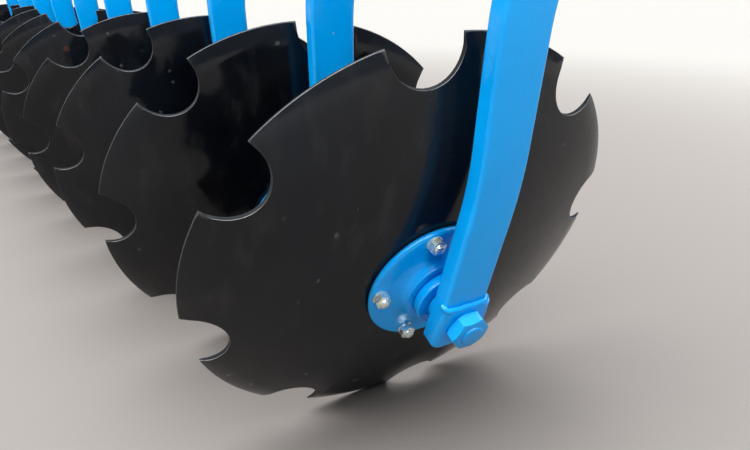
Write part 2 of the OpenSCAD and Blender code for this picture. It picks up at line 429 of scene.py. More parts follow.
@dataclass(frozen=True)
class BlackPaint:
    """Thin black gloss on rolled steel: smudged and spotted, with bluish patches of painted sky
    reflection, pale specks low down that are partly dust and partly painted reflection of gravel,
    and rubbed through at the edge with a painted highlight where the edge faces up.

    The mesh gives each point's distance from the edge as "rim" and its depth in a cut face as
    "cut", both in millimetres.
    """

    colour: Colour = (0.003, 0.004, 0.006, 1)
    rolled: Colour = (0.0065, 0.0065, 0.007, 1)
    rubbed: Colour = (0.045, 0.045, 0.045, 1)
    # Painted highlight: a lighter colour for the rubbed edge where it faces up
    painted_edge_highlight: Colour = (0.21, 0.21, 0.205, 1)
    dust: Colour = (0.24, 0.225, 0.2, 1)
    # Painted reflection: the bluish tint of the sky seen in the disc
    painted_sky_tint: Colour = (0.02, 0.027, 0.04, 1)
    rust: Colour = (0.09, 0.028, 0.01, 1)
    gloss: Pair = (0.1, 0.19)
    shine: float = 0.29
    thin_coat: Patches = Patches(7.0, 0.4, 0.72)
    # Rubbed edge: its width, the grain of its ragged side, how soft that is, and its finish
    edge_mm: float = 0.35
    edge_grain: float = 55.0
    edge_detail: float = 3.0
    edge_soft: float = 0.25
    edge_metal: float = 0.2
    edge_matt: float = 0.5
    # Z of the normal at which the painted highlight on the rubbed edge starts and is full
    upwards: Pair = (0.1, 0.6)
    # Depth at which a cut face starts to be matt and is matt, and how matt it is
    cut_mm: Pair = (0.3, 0.9)
    cut_matt: float = 0.95
    smudges: Patches = Patches(14.0, 0.52, 0.78)
    smudge_stretch: Triple = (1.3, 2.6, 1.0)
    smudge_cover: float = 0.045
    smudge_matt: float = 0.16
    # Patches of the painted bluish sky reflection, and their share
    sky_tint_patches: Patches = Patches(4.5, 0.42, 0.66)
    sky_tint_cover: float = 0.18
    # Pale specks: partly real dust, partly painted reflection of gravel
    dust_specks: Specks = Specks(62.0, 0.22, 0.16)
    dust_and_gravel_patches: Patches = Patches(5.5, 0.42, 0.6)
    dust_matt: float = 0.6
    # Heights in metres between which the pale specks thin out, and their share at both; the specks
    # are partly splashed dust and partly painted reflection of gravel
    low_speck_heights: Pair = (-0.78, -0.5)
    low_speck_shares: Pair = (0.75, 0.25)
    spots: Specks = Specks(9.0, 0.07, 0.3)
    spot_cover: float = 0.6
    clouds: Patches = Patches(16.0, 0.35, 0.7)
    swell: Relief = Relief(18.0, 0.0005)

    def bare(self, graph: Graph, place: NodeSocket) -> NodeSocket:
        """Mask the edge where the paint is rubbed through.

        Args:
            graph: The material's graph.
            place: Its coordinates.

        Returns:
            The mask.
        """
        noise = graph.noise(place, self.edge_grain, self.edge_detail)
        ragged = graph.share(noise, 2 * self.edge_mm)
        inward = graph.calc(Calc.MINUS, graph.attribute("rim"), ragged)
        return graph.fade(inward, self.edge_soft, -self.edge_soft)

    def smudged(self, graph: Graph, place: NodeSocket) -> NodeSocket:
        """Mask the smudges, drawn out one way.

        Args:
            graph: The material's graph.
            place: Its coordinates.

        Returns:
            The mask.
        """
        streak = graph.add("ShaderNodeMapping", Vector=place, Scale=self.smudge_stretch)
        return self.smudges.on(graph, streak.outputs[0])

    def dust_and_gravel_reflection(self, graph: Graph, place: NodeSocket) -> NodeSocket:
        """Mask the pale specks, which thin out upwards: partly splashed dust, partly painted
        reflection of gravel.

        Args:
            graph: The material's graph.
            place: Its coordinates.

        Returns:
            The mask.
        """
        low = graph.fade(graph.height(place), *self.low_speck_heights, *self.low_speck_shares)
        specks = graph.share(self.dust_specks.on(graph, place), self.dust_and_gravel_patches.on(graph, place))
        return graph.share(specks, low)

    def material(self) -> Material:
        """Build the paint.

        Returns:
            The material.
        """
        material, graph, shader = dressed("black_gloss_paint")
        place = graph.coordinates("Object")
        bare = self.bare(graph, place)
        smudge = self.smudged(graph, place)
        dust = self.dust_and_gravel_reflection(graph, place)
        painted_sky_tint = graph.share(self.sky_tint_patches.on(graph, place), self.sky_tint_cover)
        spots = graph.share(self.spots.on(graph, place), self.spot_cover)
        colour = graph.blend(self.thin_coat.on(graph, place), self.colour, self.rolled)
        colour = graph.blend(graph.share(smudge, self.smudge_cover), colour, self.dust)
        # Painted reflection of the sky as bluish patches
        colour = graph.blend(painted_sky_tint, colour, self.painted_sky_tint)
        # Pale specks low down: partly dust, partly painted reflection of gravel
        colour = graph.blend(dust, colour, self.dust)
        colour = graph.blend(spots, colour, self.rust)
        facing = graph.height(graph.coordinates("Normal"))
        # Rubbed edges that face up take the painted highlight colour
        edge = graph.blend(graph.fade(facing, *self.upwards), self.rubbed, self.painted_edge_highlight)
        graph.feed(shader.inputs["Base Color"], graph.blend(bare, colour, edge))
        graph.feed(shader.inputs["Metallic"], graph.share(bare, self.edge_metal))

        gloss = graph.fade(self.clouds.on(graph, place), 0.0, 1.0, *self.gloss)
        gloss = graph.calc(Calc.PLUS, gloss, graph.share(smudge, self.smudge_matt))
        gloss = graph.calc(Calc.PLUS, gloss, graph.share(dust, self.dust_matt))
        cut = graph.fade(graph.attribute("cut"), *self.cut_mm, 0.0, self.cut_matt)
        matt = graph.calc(Calc.HIGHER, cut, graph.share(bare, self.edge_matt))
        graph.feed(shader.inputs["Roughness"], graph.calc(Calc.HIGHER, gloss, matt))
        shader.inputs["Specular IOR Level"].default_value = self.shine
        graph.feed(shader.inputs["Normal"], self.swell.on(graph, place))
        return material


@dataclass(frozen=True)
class Zinc:
    """Bright zinc plate with a faint yellow-green tint on bolts, nuts and washers."""

    colour: Colour = (0.86, 0.93, 0.88, 1)
    dull: Colour = (0.74, 0.82, 0.75, 1)
    gloss: Pair = (0.2, 0.3)
    metal: float = 0.85
    clouds: Patches = Patches(70.0, 0.38, 0.68)

    def material(self) -> Material:
        """Build the plating.

        Returns:
            The material.
        """
        material, graph, shader = dressed("zinc_plate")
        tone = self.clouds.on(graph, graph.coordinates("Object"))
        graph.feed(shader.inputs["Base Color"], graph.blend(tone, self.colour, self.dull))
        graph.feed(shader.inputs["Roughness"], graph.fade(tone, 0.0, 1.0, *self.gloss))
        shader.inputs["Metallic"].default_value = self.metal
        return material


@dataclass(frozen=True)
class Rubber:
    """Moulded black rubber with a chalky bloom."""

    colour: Colour = (0.016, 0.016, 0.017, 1)
    bloom: Colour = (0.055, 0.054, 0.052, 1)
    gloss: Pair = (0.55, 0.8)
    bloomed: Patches = Patches(32.0, 0.4, 0.75)
    grain: Relief = Relief(300.0, 0.0003)

    def material(self) -> Material:
        """Build the rubber.

        Returns:
            The material.
        """
        material, graph, shader = dressed("moulded_rubber")
        place = graph.coordinates("Object")
        tone = self.bloomed.on(graph, place)
        graph.feed(shader.inputs["Base Color"], graph.blend(tone, self.colour, self.bloom))
        graph.feed(shader.inputs["Roughness"], graph.fade(tone, 0.0, 1.0, *self.gloss))
        graph.feed(shader.inputs["Normal"], self.grain.on(graph, place))
        return material


@dataclass(frozen=True)
class PaleFloor:
    """Plain matt floor with painted shade near the row, paler in the distance, with the distances
    in metres.
    """

    # Near colour: painted shade of the row on the floor
    near: Colour = (0.192, 0.17, 0.157, 1)
    far: Colour = (0.38, 0.356, 0.33, 1)
    painted_shade_r: float = 0.9
    shade_gone_r: float = 6.0
    matt: float = 0.9
    shine: float = 0.2

    def material(self) -> Material:
        """Build the floor's finish.

        Returns:
            The material.
        """
        material, graph, shader = dressed("pale_floor")
        reach = graph.tree.nodes.new("ShaderNodeVectorMath")
        reach.operation = "LENGTH"
        graph.feed(reach.inputs[0], graph.coordinates("Object"))
        # Dark near the row as painted shade, paler further out
        distance = graph.fade(reach.outputs["Value"], self.painted_shade_r, self.shade_gone_r)
        graph.feed(shader.inputs["Base Color"], graph.blend(distance, self.near, self.far))
        shader.inputs["Roughness"].default_value = self.matt
        shader.inputs["Specular IOR Level"].default_value = self.shine
        return material


# Places, outlines and meshes, in millimetres


def turned(degrees: float, axis: Axis = Axis.Z) -> Matrix:
    """Give a turn about an axis."""
    return Matrix.Rotation(math.radians(degrees), 4, axis.value)


def shifted(x: float = 0.0, y: float = 0.0, z: float = 0.0) -> Matrix:
    """Give a shift."""
    return Matrix.Translation((x, y, z))


def around(turn: float, r: float = 1.0) -> Vector:
    """Give the flat point at a turn in radians from X, at a radius."""
    return Vector((r * math.cos(turn), r * math.sin(turn)))


def along(lean: float) -> Vector:
    """Give the flat direction that leans from Y towards X by so many degrees."""
    return Vector((math.sin(math.radians(lean)), math.cos(math.radians(lean))))


def across(lean: float) -> Vector:
    """Give the flat direction at a right angle to such a lean, on the side of X."""
    return Vector((math.cos(math.radians(lean)), -math.sin(math.radians(lean))))


def nut_turn(steps: Sequence[int], *counts: int) -> int:
    """Turn a nut unlike its neighbours.

    Args:
        steps: Degrees that each count turns it by.
        counts: Its place in the row and in its pattern.

    Returns:
        The turn in degrees.
    """
    return sum(step * count for step, count in zip(steps, counts)) % SIXTH


def arc(x: float, y: float, r: float, start: float, end: float, steps: int) -> list[Pair]:
    """Give the points of an arc from start to end degrees."""
    turns = [math.radians(start + (end - start) * i / steps) for i in range(steps + 1)]
    return [(x + r * math.cos(t), y + r * math.sin(t)) for t in turns]


def outer_corner(r: float, z: float, size: float, top: bool, steps: int) -> list[Pair]:
    """Round an outer corner of a turned section.

    Args:
        r: Radius of the corner.
        z: Height of the corner.
        size: Radius of its round.
        top: Whether the corner is at the upper end of its face.
        steps: Lines in the round.

    Returns:
        The points, upwards.
    """
    if top:
        return arc(r - size, z - size, size, 0, 90, steps)
    return arc(r - size, z + size, size, -90, 0, steps)


def rounded(
    x: float, y: float, r: float, steps: int, straights: Sequence[int] = (1, 1, 1, 1)
) -> list[Pair]:
    """Give the outline of a rectangle with rounded corners.

    Args:
        x: Half its width.
        y: Half its height.
        r: Radius of the corners.
        steps: Lines in each corner.
        straights: Lines in each side, anticlockwise from the upper one.

    Returns:
        The points, anticlockwise from the upper right corner.
    """
    middles = ((x - r, y - r), (r - x, y - r), (r - x, r - y), (x - r, r - y))
    bends = [arc(*at, r, 90 * i, 90 * i + 90, steps) for i, at in enumerate(middles)]
    points = []
    for bend, after, parts in zip(bends, bends[1:] + bends[:1], straights):
        (ax, ay), (bx, by) = bend[-1], after[0]
        shares = [i / parts for i in range(1, parts)]
        points += bend + [(ax + (bx - ax) * s, ay + (by - ay) * s) for s in shares]
    return points


def everything(bm: BMesh) -> list:
    """Give a mesh's vertices, edges and faces in one list."""
    return [*bm.verts, *bm.edges, *bm.faces]


def corners(bm: BMesh, least: float = 50.0) -> list[BMEdge]:
    """Give the edges at which the surface turns by more than a number of degrees."""
    limit = math.radians(least)
    return [e for e in bm.edges if e.is_manifold and e.calc_face_angle(0.0) > limit]


def uprights(edges: Iterable[BMEdge], least: float) -> list[BMEdge]:
    """Give those edges that rise by more than a length."""
    return [e for e in edges if abs(e.verts[0].co.z - e.verts[1].co.z) > least]


def soften(bm: BMesh, edges: Iterable[BMEdge], offset: float, segments: int = 2) -> None:
    """Round a mesh's edges.

    Args:
        bm: The mesh.
        edges: Edges to round.
        offset: Distance from the edge to where the round starts.
        segments: Faces across the round.
    """
    bmesh.ops.bevel(
        bm,
        geom=list(edges),
        offset=offset,
        offset_type="OFFSET",
        segments=segments,
        profile=0.5,
        affect="EDGES",
        clamp_overlap=True,
        material=-1,
    )


def moved(result: dict) -> list[BMVert]:
    """Give the vertices among an operator's new geometry."""
    return [v for v in result["geom"] if isinstance(v, BMVert)]


def extruded(outline: Sequence[Pair], length: float) -> BMesh:
    """Extrude a flat outline.

    Args:
        outline: Points of the outline in X and Y.
        length: Length along Z, half to each side.

    Returns:
        The closed mesh.
    """
    bm = bmesh.new()
    face = bm.faces.new([bm.verts.new((x, y, -length / 2)) for x, y in outline])
    result = bmesh.ops.extrude_face_region(bm, geom=[face])
    bmesh.ops.translate(bm, verts=moved(result), vec=(0, 0, length))
    bmesh.ops.recalc_face_normals(bm, faces=bm.faces)
    return bm


def spun(profile: Sequence[Pair], steps: int) -> BMesh:
    """Spin half a section about Z.

    Args:
        profile: Points as radius and height; both ends lie on the axis.
        steps: Faces round the axis.

    Returns:
        The closed mesh.
    """
    bm = bmesh.new()
    verts = [bm.verts.new((r, 0, z)) for r, z in profile]
    edges = [bm.edges.new(pair) for pair in zip(verts, verts[1:])]
    bmesh.ops.spin(
        bm, geom=verts + edges, cent=(0, 0, 0), axis=(0, 0, 1), angle=TAU, steps=steps,
        use_merge=True, use_duplicate=False,
    )
    bmesh.ops.remove_doubles(bm, verts=bm.verts, dist=MERGE)
    bmesh.ops.recalc_face_normals(bm, faces=bm.faces)
    return bm


def trim(bm: BMesh, point: Vector, keep: Vector) -> None:
    """Cut a closed mesh with a plane and close it again.

    Args:
        bm: The mesh.
        point: A point of the plane.
        keep: Direction, square to the plane, of the side that stays.
    """
    bmesh.ops.bisect_plane(
        bm, geom=everything(bm), plane_co=point, plane_no=keep, clear_inner=True
    )
    bmesh.ops.holes_fill(bm, edges=[e for e in bm.edges if e.is_boundary])
    bmesh.ops.recalc_face_normals(bm, faces=bm.faces)


def open_between(bm: BMesh, low: BMFace, high: BMFace) -> None:
    """Open a passage through a closed mesh.

    Args:
        bm: The mesh.
        low: Face at the passage's one end.
        high: Face at the other.
    """
    bmesh.ops.bridge_loops(bm, edges=list(low.edges) + list(high.edges))
    bmesh.ops.delete(bm, geom=[low, high], context="FACES_ONLY")
    bmesh.ops.recalc_face_normals(bm, faces=bm.faces)


def joined(bm: BMesh, rings: Sequence[Sequence[BMVert]]) -> None:
    """Join each ring of vertices to the next with faces.

    Args:
        bm: The mesh.
        rings: The rings, each with the same number of vertices.
    """
    for low, high in zip(rings, rings[1:]):
        for i in range(len(low)):
            bm.faces.new((low[i - 1], low[i], high[i], high[i - 1]))


def lofted(sections: Sequence[Sequence[Sequence[float]]]) -> BMesh:
    """Join closed sections one after the other and cap both ends.

    Args:
        sections: Sections of points in space, each with the same number of them.

    Returns:
        The closed mesh.
    """
    bm = bmesh.new()
    rings = [[bm.verts.new(point) for point in section] for section in sections]
    joined(bm, rings)
    bm.faces.new(rings[0])
    bm.faces.new(rings[-1])
    bmesh.ops.recalc_face_normals(bm, faces=bm.faces)
    return bm


def laid_bead(path: Sequence[tuple[Vector, float]], sides: int = 10) -> BMesh:
    """Lay a round bead along a closed path.

    Args:
        path: Points with the bead's radius at each, the last joined to the first.
        sides: Faces round the bead.

    Returns:
        The closed mesh.
    """
    bm = bmesh.new()
    rings = []
    for i, (centre, r) in enumerate(path):
        way = (path[(i + 1) % len(path)][0] - path[i - 1][0]).normalized()
        out = way.cross((0, 1, 0)).normalized()
        up = out.cross(way)
        turns = [around(TAU * j / sides) * r for j in range(sides)]
        rings.append([bm.verts.new(centre + turn.x * out + turn.y * up) for turn in turns])
    joined(bm, rings + rings[:1])
    bmesh.ops.recalc_face_normals(bm, faces=bm.faces)
    return bm


def finished_mesh(name: str, bm: BMesh) -> bpy.types.Mesh:
    """Turn a mesh under work into a finished one.

    Args:
        name: Name of the finished mesh.
        bm: The mesh under work, which is used up.

    Returns:
        The finished mesh.
    """
    mesh = bpy.data.meshes.new(name)
    bm.to_mesh(mesh)
    bm.free()
    return mesh


def into_scene(name: str, data: bpy.types.ID) -> bpy.types.Object:
    """Put a mesh, a lamp or a camera into the scene.

    Args:
        name: Name of its object.
        data: The mesh, lamp or camera.

    Returns:
        The object.
    """
    thing = bpy.data.objects.new(name, data)
    bpy.context.scene.collection.objects.link(thing)
    return thing


# Pieces of the row


@dataclass
class Piece:
    """One object of the visual model, gathered from closed shells."""

    name: str
    body: str
    slot: Slot
    finish: Material
    stands_for: tuple[str, ...] = ()
    sharp: float = 32.0
    bm: BMesh = field(default_factory=bmesh.new)
    faces: int = 0
    gaps: int = 0

    def add(self, part: BMesh, place: Matrix) -> None:
        """Add a shell in millimetres.

        Args:
            part: The shell, which is used up.
            place: Where it goes in the row's frame, with the step to metres.
        """
        part.transform(place)
        mesh = finished_mesh("shell", part)
        self.bm.from_mesh(mesh)
        bpy.data.meshes.remove(mesh)

    def finished(self) -> "Piece":
        """Make the object, shade it and say what it rides on and stands for.

        Returns:
            The piece, with its faces and open edges counted.
        """
        self.faces = len(self.bm.faces)
        self.gaps = sum(1 for e in self.bm.edges if not e.is_manifold)
        mesh = finished_mesh(self.name, self.bm)
        mesh.materials.append(self.finish)
        mesh.shade_smooth()
        mesh.set_sharp_from_angle(angle=math.radians(self.sharp))
        thing = into_scene(self.name, mesh)
        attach(thing, self.body)
        if self.stands_for:
            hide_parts(*self.stands_for)
        return self


@dataclass
class Hexagon:
    """Hexagonal nut or head that stands on Z = 0, its corners turned off by a cone at both ends."""

    af: float
    height: float
    steps: int = 48
    # Width of the end faces, as a share of the width across the flats
    end_share: float = 0.95
    cone: float = 30.0
    edge_share: float = 0.012

    def ring(self, level: float, inward: float, flat: bool) -> list[Triple]:
        """Give a section.

        Args:
            level: Height of the end that it belongs to.
            inward: 1 at the lower end and -1 at the upper.
            flat: Whether it is the end face, or the line where the cone meets the sides.

        Returns:
            The section's points.
        """
        face_r = self.end_share * self.af / 2
        sixth = math.radians(SIXTH)
        slope = math.tan(math.radians(self.cone))
        points = []
        for i in range(self.steps):
            turn = TAU * i / self.steps
            side = self.af / 2 / math.cos((turn + sixth / 2) % sixth - sixth / 2)
            r = face_r if flat else side
            drop = 0.0 if flat else (side - face_r) * slope
            points.append((r * math.cos(turn), r * math.sin(turn), level + inward * drop))
        return points

    def mesh(self) -> BMesh:
        """Build the hexagon.

        Returns:
            The closed mesh.
        """
        ends = ((0, 1, True), (0, 1, False), (self.height, -1, False), (self.height, -1, True))
        bm = lofted([self.ring(*end) for end in ends])
        soften(bm, uprights(corners(bm, 40), self.height / 2), self.af * self.edge_share)
        return bm


@dataclass
class Blade:
    """Notched, dished disc, with Z along its axle towards the arm and 0 in the rim's plane."""

    diameter: float = 560.0
    thickness: float = 5.0
    dish: float = 38.0
    flat: float = 176.0
    hole: float = 90.0
    teeth: int = 8
    notch_r: float = 40.0
    notch_depth: float = 43.0
    ground: float = 11.0
    rim_left: float = 2.0
    tooth_steps: int = 8
    notch_steps: int = 10
    rings: int = 15
    # Widths of the two bands of faces that follow the outline, and radius of the cut edges
    band: float = 4.0
    lip: float = 1.2
    edge_r: float = 0.5
    # Distance below which the grid's meeting ends become one
    seam: float = 1e-3
    rim_r: float = field(init=False)
    notch_at: float = field(init=False)
    centre: float = field(init=False)
    ball: float = field(init=False)
    half: int = field(init=False)
    columns: int = field(init=False)

    def __post_init__(self) -> None:
        """Work out the sphere that the dish is part of, and the count of faces round the disc."""
        self.rim_r = self.diameter / 2
        self.notch_at = self.rim_r + self.notch_r - self.notch_depth
        span = (self.rim_r**2 - (self.flat / 2) ** 2) / self.dish
        self.centre = (span - self.dish) / 2
        self.ball = math.hypot(self.centre, self.rim_r)
        self.half = self.tooth_steps + self.notch_steps
        self.columns = 2 * self.half * self.teeth

    def front(self, r: float) -> float:
        """Give the height of the convex face, with the ground edge.

        Args:
            r: Radius.

        Returns:
            The height.
        """
        start = self.rim_r - self.ground
        curve = math.sqrt(self.ball**2 - min(r, start) ** 2) - self.centre
        low = self.rim_left - self.thickness
        if r > start:
            return curve + (low - curve) * (r - start) / self.ground
        return min(self.dish, curve)

    def back(self, r: float) -> float:
        """Give the height of the hollow face at a radius."""
        inner = self.ball - self.thickness
        return min(self.dish - self.thickness, math.sqrt(inner**2 - r**2) - self.centre)

    def edge(self, step: int) -> Vector:
        """Give a point of one tooth's outline.

        Args:
            step: Steps from the tooth's middle, negative to the one side.

        Returns:
            The point in the plane of X and Y, with the tooth's middle on X.
        """
        pocket = math.pi / self.teeth
        reach = self.rim_r**2 + self.notch_at**2 - self.notch_r**2
        lip = math.acos(reach / (2 * self.rim_r * self.notch_at))
        side = 1 if step >= 0 else -1
        count = abs(step)
        if count <= self.tooth_steps:
            return around((pocket - lip) * count / self.tooth_steps * side, self.rim_r)
        tip = self.rim_r * math.cos(lip) - self.notch_at
        first = math.atan2(self.rim_r * math.sin(lip), tip)
        swing = first + (math.pi - first) * (count - self.tooth_steps) / self.notch_steps
        point = Vector((self.notch_at, 0)) + around(-swing) * self.notch_r
        point.rotate(Matrix.Rotation(pocket, 2))
        return Vector((point.x, point.y * side))

    def rim_distance(self, point: Vector) -> float:
        """Measure how far a point is from the nearest cut edge.

        Args:
            point: The point, seen along the axle.

        Returns:
            The distance.
        """
        pocket = TAU / self.teeth
        turn = math.atan2(point.y, point.x)
        notch = around((math.floor(turn / pocket) + 0.5) * pocket) * self.notch_at
        return max(0.0, min(self.rim_r - point.length, (point - notch).length - self.notch_r))

    def face_point(self, column: int, ring: int) -> Vector:
        """Give a point of the convex face, on a line from the hole to the outline.

        Args:
            column: Its count round the disc.
            ring: Its count outwards.

        Returns:
            The point.
        """
        sector, step = divmod(column + self.half, 2 * self.half)
        tip = Matrix.Rotation(sector * TAU / self.teeth, 2) @ self.edge(step - self.half)
        root = around(column / self.columns * TAU) * self.hole / 2
        spoke = tip - root
        if ring <= self.rings:
            inset = max(self.band, tip.length - self.rim_r + self.ground)
            share = (1 - inset / spoke.length) * ring / self.rings
        else:
            share = 1 - self.lip * (self.rings + 2 - ring) / spoke.length
        point = root + spoke * share
        return Vector((point.x, point.y, self.front(point.length)))

    def mesh(self) -> BMesh:
        """Build the disc from one grid, wrapped round the axle and drawn out to the teeth.

        Returns:
            The closed mesh, with each vertex's distance from the front edge as "rim" and its
            depth in the cut face as "cut".
        """
        out = self.rings + 2
        bm = bmesh.new()
        bmesh.ops.create_grid(bm, x_segments=self.columns, y_segments=out, size=1.0)
        rim = bm.verts.layers.float.new("rim")
        cut = bm.verts.layers.float.new("cut")
        for v in bm.verts:
            column = round((v.co.x + 1) / 2 * self.columns) % self.columns
            v.co = self.face_point(column, round((v.co.y + 1) / 2 * out))
        bmesh.ops.remove_doubles(bm, verts=bm.verts, dist=self.seam)
        result = bmesh.ops.extrude_face_region(bm, geom=list(bm.faces))
        for v in moved(result):
            v.co.z = self.back(math.hypot(*v.co.xy))
        bmesh.ops.recalc_face_normals(bm, faces=bm.faces)
        soften(bm, corners(bm), self.edge_r)
        for v in bm.verts:
            depth = abs(self.front(min(v.co.xy.length, self.rim_r)) - v.co.z)
            inward = self.rim_distance(v.co.xy)
            v[rim] = inward + depth
            v[cut] = depth if inward < self.lip / 2 else 0.0
        return bm


@dataclass
class Hub:
    """Hub turned from one piece: flange, cove, barrel, seal ring and blind cap."""

    spigot_r: float = 44.7
    spigot_back: float = 16.0
    spigot_round: float = 1.5
    cap_r: float = 33.0
    cap_back: float = 10.0
    cap_round: float = 3.0
    disc_face: float = 38.0
    flange_r: float = 85.0
    flange_face: float = 47.0
    cove_at: float = 64.0
    cove_r: float = 20.0
    barrel_top: float = 60.0
    barrel_round: float = 2.0
    groove_r: float = 33.0
    seal_base: float = 62.0
    seal_r: float = 37.0
    seal_back_round: float = 1.2
    seal_front_round: float = 1.6
    front: float = 73.0
    bore_r: float = 20.05
    bore_back: float = 13.0
    steps: int = 96

    def mesh(self) -> BMesh:
        """Spin the hub's section.

        Returns:
            The closed mesh.
        """
        lip = (self.flange_face - self.disc_face) / 2
        drop = (self.cove_r + self.flange_face - self.barrel_top) / self.cove_r
        end = 180 + math.degrees(math.asin(drop))
        barrel_r = self.cove_at + self.cove_r * math.cos(math.radians(end))
        profile = [(0, self.cap_back)]
        profile += outer_corner(self.cap_r, self.cap_back, self.cap_round, False, 4)
        profile += [(self.cap_r, self.spigot_back)]
        profile += outer_corner(self.spigot_r, self.spigot_back, self.spigot_round, False, 3)
        profile += [(self.spigot_r, self.disc_face)]
        profile += arc(self.flange_r - lip, self.disc_face + lip, lip, -90, 90, 10)
        profile += arc(self.cove_at, self.flange_face + self.cove_r, self.cove_r, 270, end, 9)[:-1]
        profile += outer_corner(barrel_r, self.barrel_top, self.barrel_round, True, 3)
        profile += [(self.groove_r, self.barrel_top), (self.groove_r, self.seal_base)]
        profile += outer_corner(self.seal_r, self.seal_base, self.seal_back_round, False, 2)
        profile += outer_corner(self.seal_r, self.front, self.seal_front_round, True, 3)
        profile += [(self.bore_r, self.front), (self.bore_r, self.bore_back), (0, self.bore_back)]
        return spun(profile, self.steps)


@dataclass
class Bolt:
    """Hexagon bolt with washers and a nut, along Z with the nut up."""

    d: float
    af: float
    head: float
    nut: float
    washer_d: float
    washer: float
    end: float
    thread: float
    head_washer: bool = True
    edge: float = 0.3
    tip: float = 1.0
    # Depth of the thread, and start and end of its crest, as shares of its pitch
    root: float = 0.55
    crest: Pair = (0.35, 0.6)
    washer_steps: int = 32
    stub_steps: int = 20

    def ring(self) -> BMesh:
        """Make a washer that rests on Z = 0.

        Returns:
            The closed mesh.
        """
        r, top, edge = self.washer_d / 2, self.washer, self.edge
        profile = [(0, 0), (r - edge, 0), (r, edge), (r, top - edge), (r - edge, top), (0, top)]
        return spun(profile, self.washer_steps)

    def stub(self) -> BMesh:
        """Make the threaded end that stands out of the nut, from Z = 0.

        Returns:
            The closed mesh.
        """
        r, pitch, edge = self.d / 2, self.thread, self.edge
        root = r - self.root * pitch
        turns = int((self.end - self.tip) / pitch)
        profile = [(0, -self.tip), (root, -self.tip)]
        for i in range(turns):
            low = i * pitch
            profile += [(root, low)] + [(r, low + share * pitch) for share in self.crest]
        profile += [(root, turns * pitch), (root, self.end - edge)]
        profile += [(root - 2 * edge, self.end), (0, self.end)]
        return spun(profile, self.stub_steps)

    def place(self, piece: Piece, low: float, high: float, place: Matrix, turn: float) -> None:
        """Add the bolt to a piece.

        Args:
            piece: The piece that it joins.
            low: Face under the head.
            high: Face under the nut's washer.
            place: Frame whose Z is the bolt's middle line.
            turn: Turn of the nut in degrees; the head takes the half of it.
        """
        flip = turned(180, Axis.X)
        top = high + self.washer
        piece.add(self.ring(), place @ shifted(z=high))
        piece.add(Hexagon(self.af, self.nut).mesh(), place @ shifted(z=top) @ turned(turn))
        piece.add(self.stub(), place @ shifted(z=top + self.nut))
        under = low
        if self.head_washer:
            piece.add(self.ring(), place @ shifted(z=low) @ flip)
            under = low - self.washer
        stand = place @ shifted(z=under) @ flip @ turned(turn / 2)
        piece.add(Hexagon(self.af, self.head).mesh(), stand)


M12 = Bolt(
    d=12, af=17, head=7.5, nut=8.5, washer_d=19.5, washer=1.6, end=3.5, thread=1.75,
    head_washer=False,
)
M16 = Bolt(d=16, af=24, head=10, nut=13, washer_d=30, washer=3, end=8, thread=2)


@dataclass
class Axle:
    """Stub axle with its shoulder, its shank through the arm's block, and its nut."""

    bearing_r: float = 20.0
    inner_end: float = 15.0
    shoulder_r: float = 25.0
    shoulder_back: float = 74.0
    eye_back: float = 86.0
    shank_r: float = 13.5
    shank_round: float = 2.2
    eye_front: float = 110.0
    nut_af: float = 41.0
    nut: float = 16.0
    proud: float = 2.5
    edge: float = 1.0
    steps: int = 64

    def mesh(self) -> BMesh:
        """Spin the axle's section.

        Returns:
            The closed mesh.
        """
        end, edge = self.eye_front + self.nut + self.proud, self.edge
        profile = [
            (0, self.inner_end),
            (self.bearing_r - edge, self.inner_end),
            (self.bearing_r, self.inner_end + edge),
            (self.bearing_r, self.shoulder_back),
            (self.shoulder_r - edge, self.shoulder_back),
            (self.shoulder_r, self.shoulder_back + edge),
            (self.shoulder_r, self.eye_back),
            (self.shank_r, self.eye_back),
        ]
        profile += outer_corner(self.shank_r, end, self.shank_round, True, 4)
        profile += [(0, end)]
        return spun(profile, self.steps)


